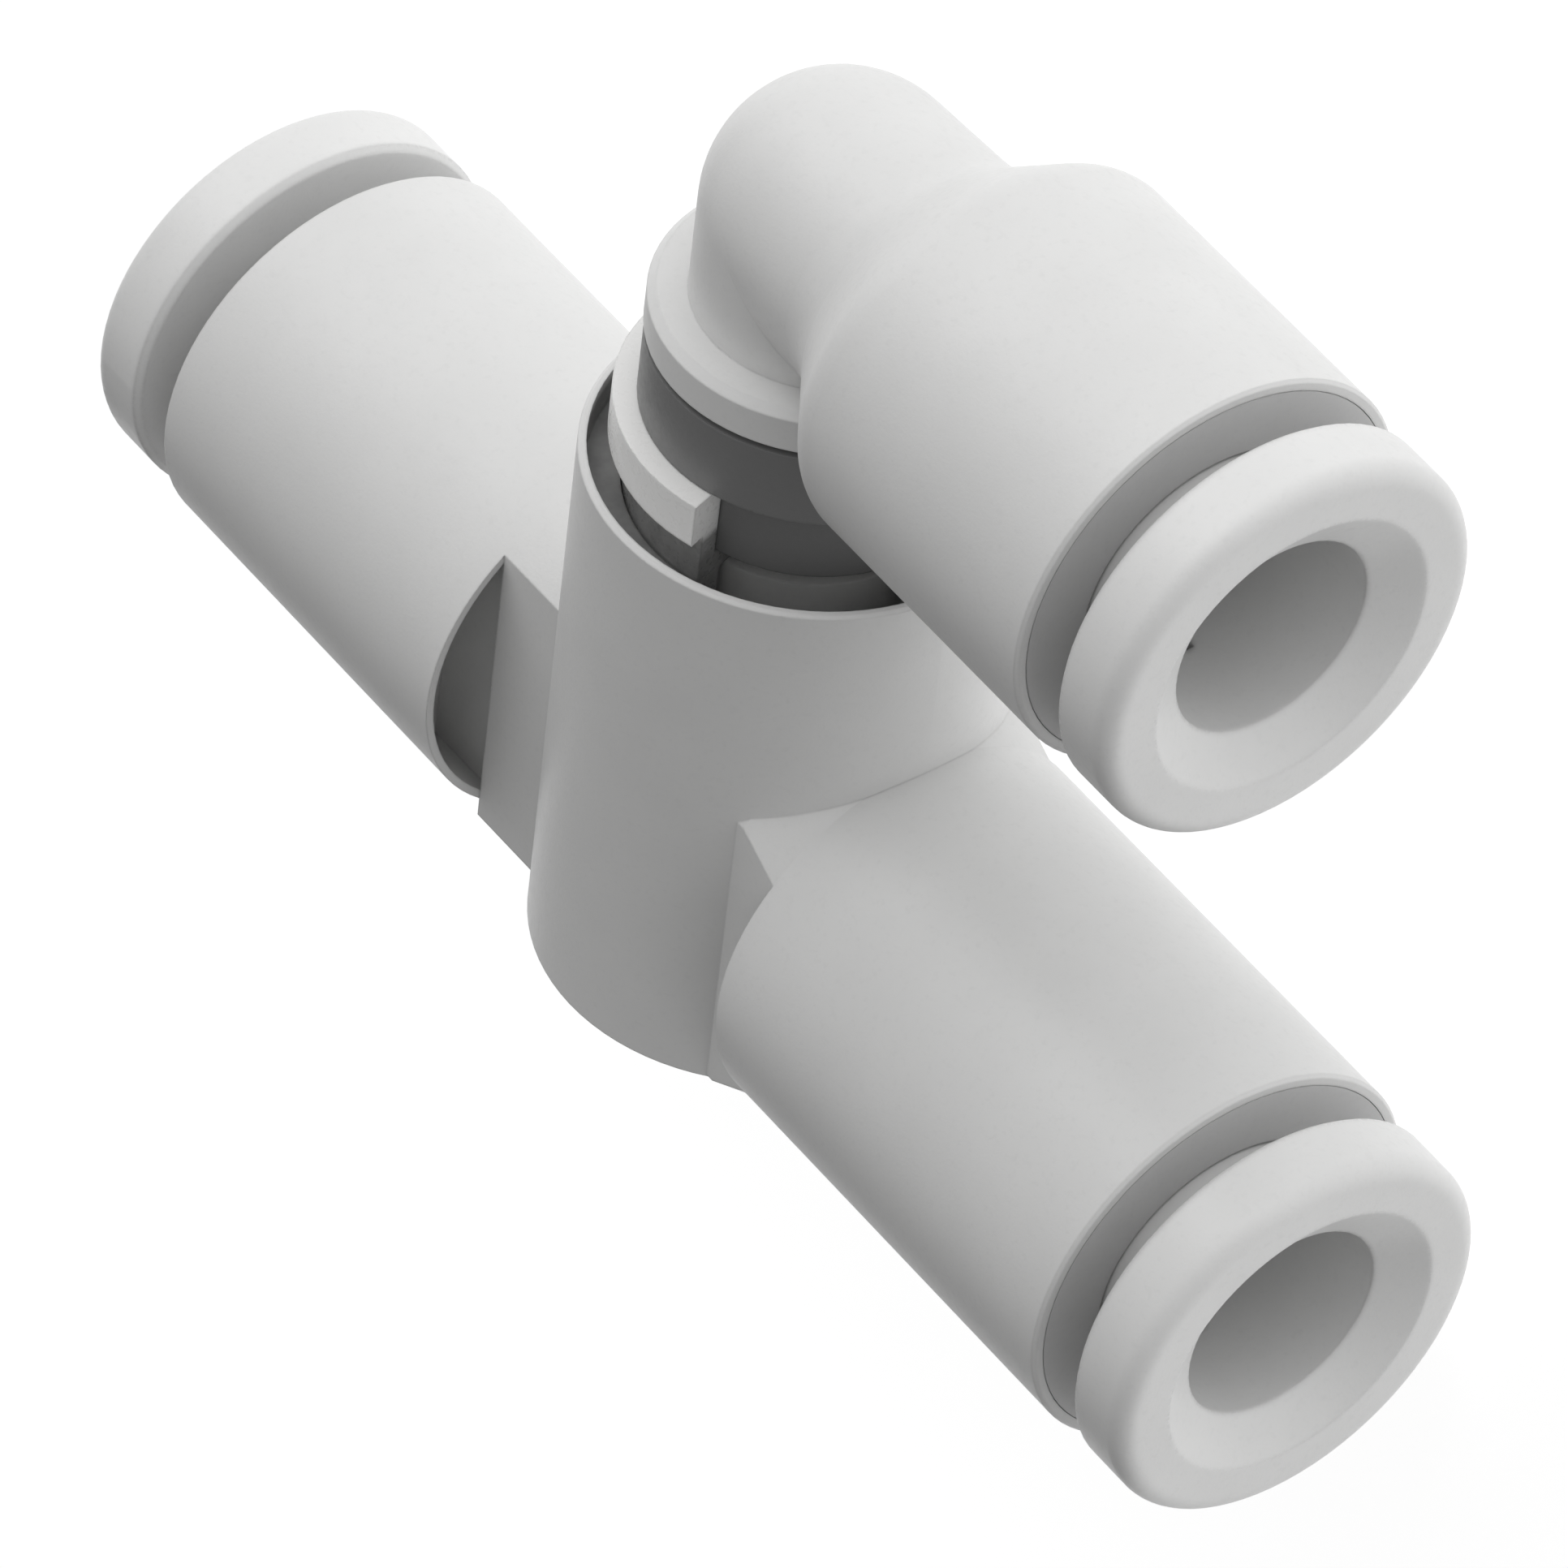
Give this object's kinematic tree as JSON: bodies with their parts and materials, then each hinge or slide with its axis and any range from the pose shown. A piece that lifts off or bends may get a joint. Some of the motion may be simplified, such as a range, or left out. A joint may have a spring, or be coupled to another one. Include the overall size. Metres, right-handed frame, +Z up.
{
  "type": "tubing y connector",
  "caption": "Push-in union Y for plastic tubing: a straight tee body with a swivelling elbow outlet beside its own outlet, and a release button at each port.",
  "frame": {"origin": "on the surface that it lies on, under the middle of its outline", "axes": "+X from the inlet to the two outlets, +Y from the run to the branch outlet, +Z up"},
  "size_m": [0.0508, 0.036, 0.0132],
  "materials": {
    "body_resin": "satin light grey resin",
    "button_resin": "satin light grey resin",
    "guide_resin": "matte grey resin",
    "clip_resin": "white resin",
    "bush_resin": "dark grey resin",
    "stainless": "bright stamped stainless steel",
    "seal_rubber": "black nitrile rubber"
  },
  "bodies": {
    "tee": {"tee_body": "body_resin", "retaining_clip": "clip_resin", "inlet_guide": "guide_resin", "inlet_chuck": "stainless", "inlet_collet": "button_resin", "inlet_seal": "seal_rubber", "outlet_guide": "guide_resin", "outlet_chuck": "stainless", "outlet_collet": "button_resin", "outlet_seal": "seal_rubber"},
    "elbow": {"elbow_body": "body_resin", "swivel_bush": "bush_resin", "swivel_o_ring": "seal_rubber", "branch_guide": "guide_resin", "branch_chuck": "stainless", "branch_collet": "button_resin", "branch_seal": "seal_rubber"},
    "inlet_button": {"inlet_release_button": "button_resin"},
    "outlet_button": {"outlet_release_button": "button_resin"},
    "branch_button": {"branch_release_button": "button_resin"}
  },
  "joints": [
    {"name": "elbow_swivel", "type": "hinge", "parent": "tee", "child": "elbow", "pos_m": [0, 0.002, 0.0066], "axis": [0, 1, 0], "continuous": true},
    {"name": "inlet_button_push", "type": "slide", "parent": "tee", "child": "inlet_button", "axis": [1, 0, 0], "range_m": [0, 0.0012], "stiffness_N_per_m": 3000},
    {"name": "outlet_button_push", "type": "slide", "parent": "tee", "child": "outlet_button", "axis": [-1, 0, 0], "range_m": [0, 0.0012], "stiffness_N_per_m": 3000},
    {"name": "branch_button_push", "type": "slide", "parent": "elbow", "child": "branch_button", "axis": [-1, 0, 0], "range_m": [0, 0.0012], "stiffness_N_per_m": 3000}
  ]
}
